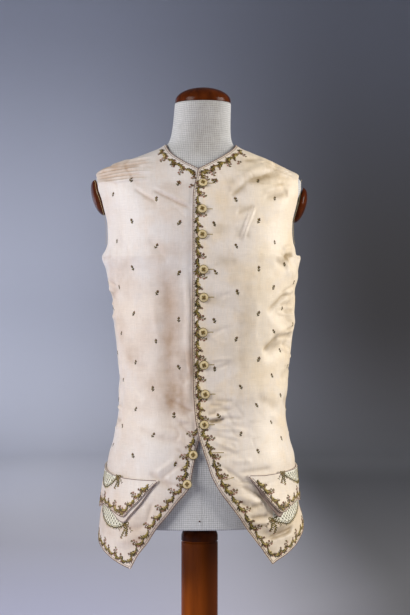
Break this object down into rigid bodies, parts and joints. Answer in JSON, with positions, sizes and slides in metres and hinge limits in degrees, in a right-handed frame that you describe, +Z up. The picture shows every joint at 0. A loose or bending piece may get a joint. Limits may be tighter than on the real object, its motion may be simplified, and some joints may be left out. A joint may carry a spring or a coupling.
{
  "type": "embroidered waistcoat on a dress form",
  "caption": "Sleeveless buttoned silk waistcoat with cutaway skirts, pocket flaps and floral embroidery, standing on a linen-covered tailor's form with a turned post.",
  "frame": {"origin": "centre of the base's underside, where the stand meets the floor", "axes": "+Z up along the post; -Y towards the waistcoat's front; +X towards the wearer's left"},
  "size_m": [0.3783, 0.3, 1.0093],
  "materials": {
    "silk": "ivory silk satin with a soft sheen, polychrome silk embroidery, lightly stained",
    "back_cloth": "plain matt ivory linen and cotton",
    "flap_lining": "plain matt ivory silk lining",
    "button_silk": "embroidered silk over a wooden mould",
    "linen": "unbleached plain-weave linen, stretched",
    "stained_wood": "red-brown stain under gloss varnish"
  },
  "bodies": {
    "root": {"form_torso": "linen", "neck_cap": "stained_wood", "shoulder_cap_right": "stained_wood", "shoulder_cap_left": "stained_wood", "post": "stained_wood", "base": "stained_wood", "front_left": "silk", "front_right": "silk", "back_left": "back_cloth", "back_right": "back_cloth", "flap_right": "silk", "flap_left": "silk", "flap_lining_right": "flap_lining", "flap_lining_left": "flap_lining", "button_01": "button_silk", "button_02": "button_silk", "button_03": "button_silk", "button_04": "button_silk", "button_05": "button_silk", "button_06": "button_silk", "button_07": "button_silk", "button_08": "button_silk", "button_09": "button_silk", "button_10": "button_silk", "button_11": "button_silk"}
  },
  "joints": []
}
